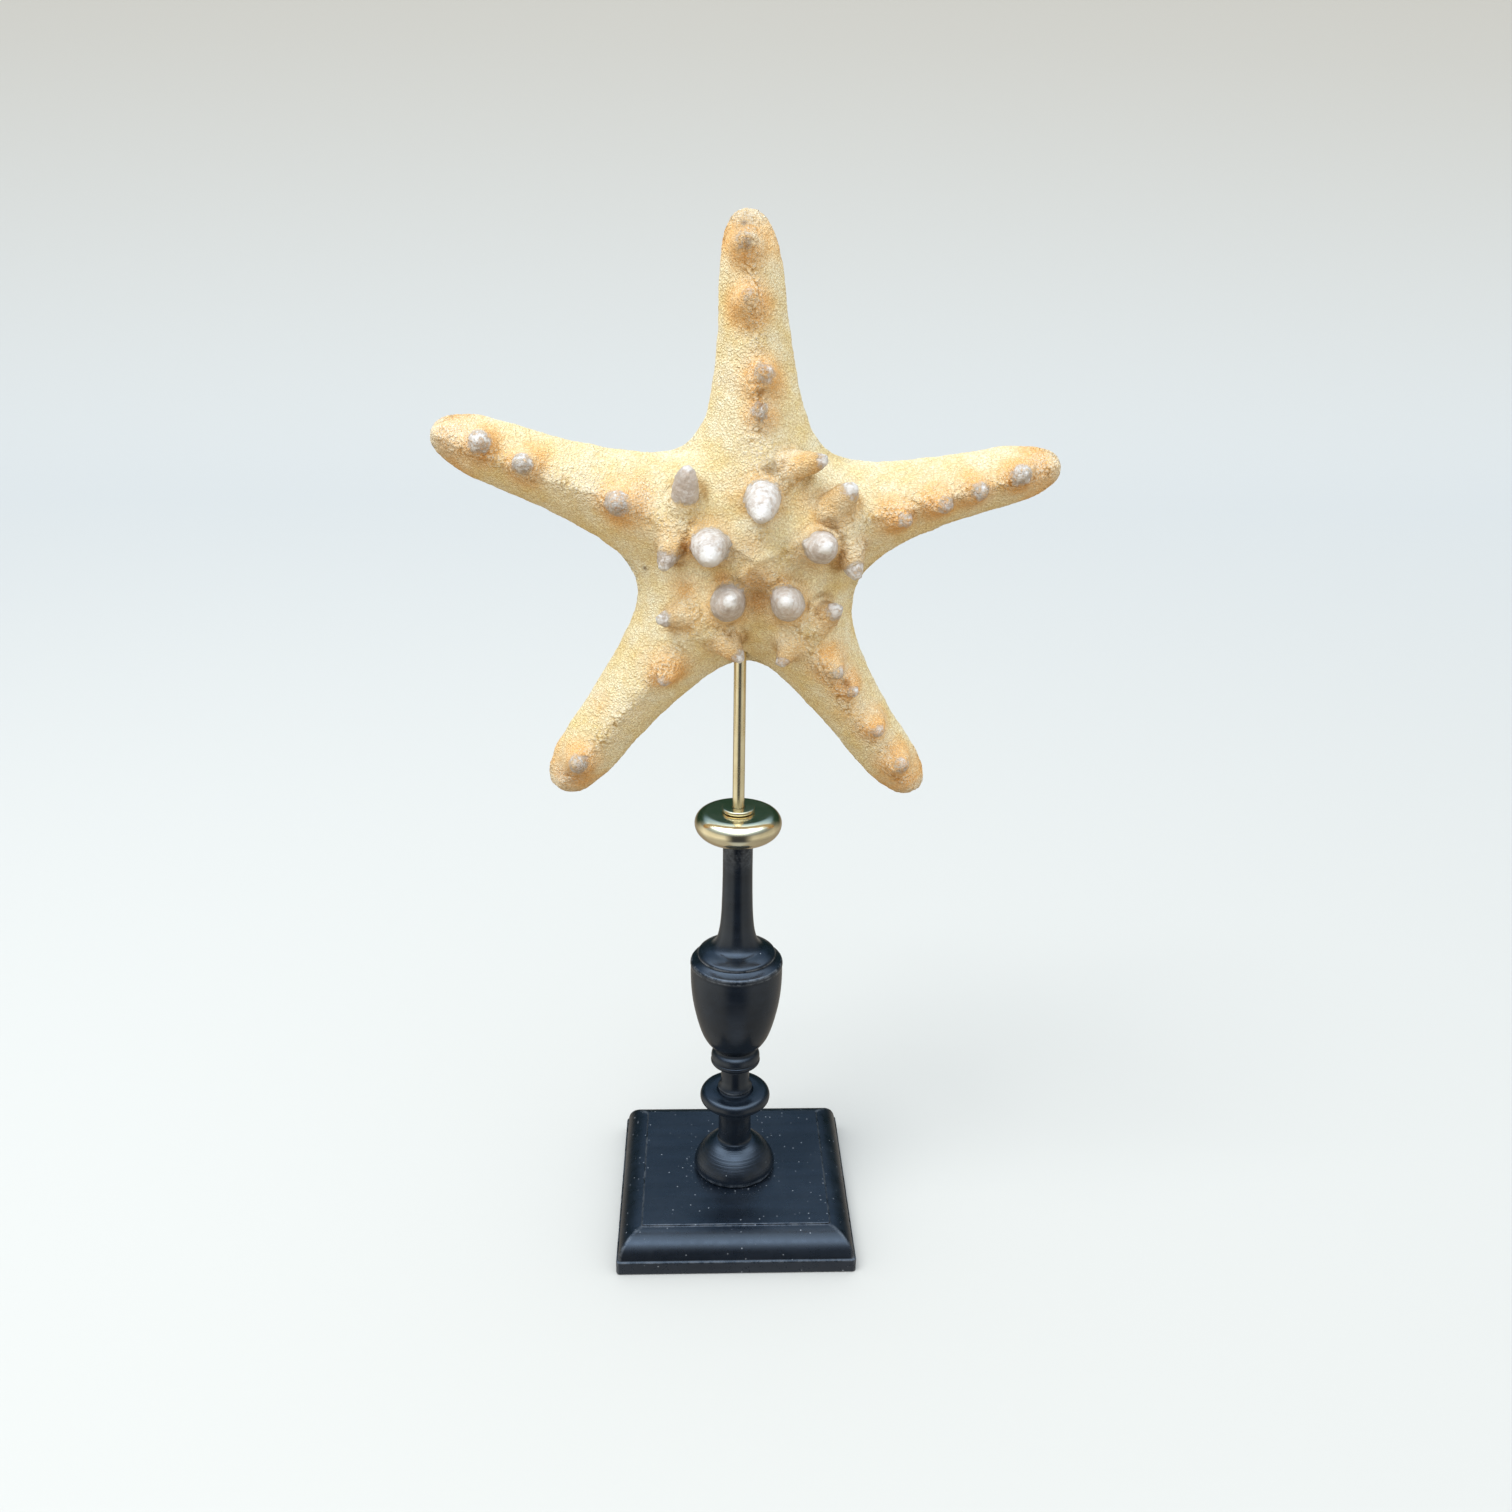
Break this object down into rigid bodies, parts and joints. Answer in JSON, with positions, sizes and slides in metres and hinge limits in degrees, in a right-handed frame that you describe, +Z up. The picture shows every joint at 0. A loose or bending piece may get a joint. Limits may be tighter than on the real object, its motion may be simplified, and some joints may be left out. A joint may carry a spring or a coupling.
{
  "type": "dried starfish on a stand",
  "caption": "Dried knobbly starfish displayed upright on a thin brass rod, set in a turned black wooden stand with a brass collar and a square moulded base.",
  "frame": {"origin": "middle of the underside of the square base", "axes": "+Z up along the rod and column, -Y towards the viewer and the starfish's spiny side, +X to the viewer's right"},
  "size_m": [0.2299, 0.1, 0.4131],
  "materials": {
    "black_wood": "black stain with a satin polish, slightly worn and dusty",
    "brass": "polished",
    "dried_skin": "dry, matt and granular"
  },
  "bodies": {
    "root": {"base": "black_wood", "column": "black_wood", "collar": "brass", "washer": "brass", "rod": "brass", "starfish": "dried_skin"}
  },
  "joints": []
}
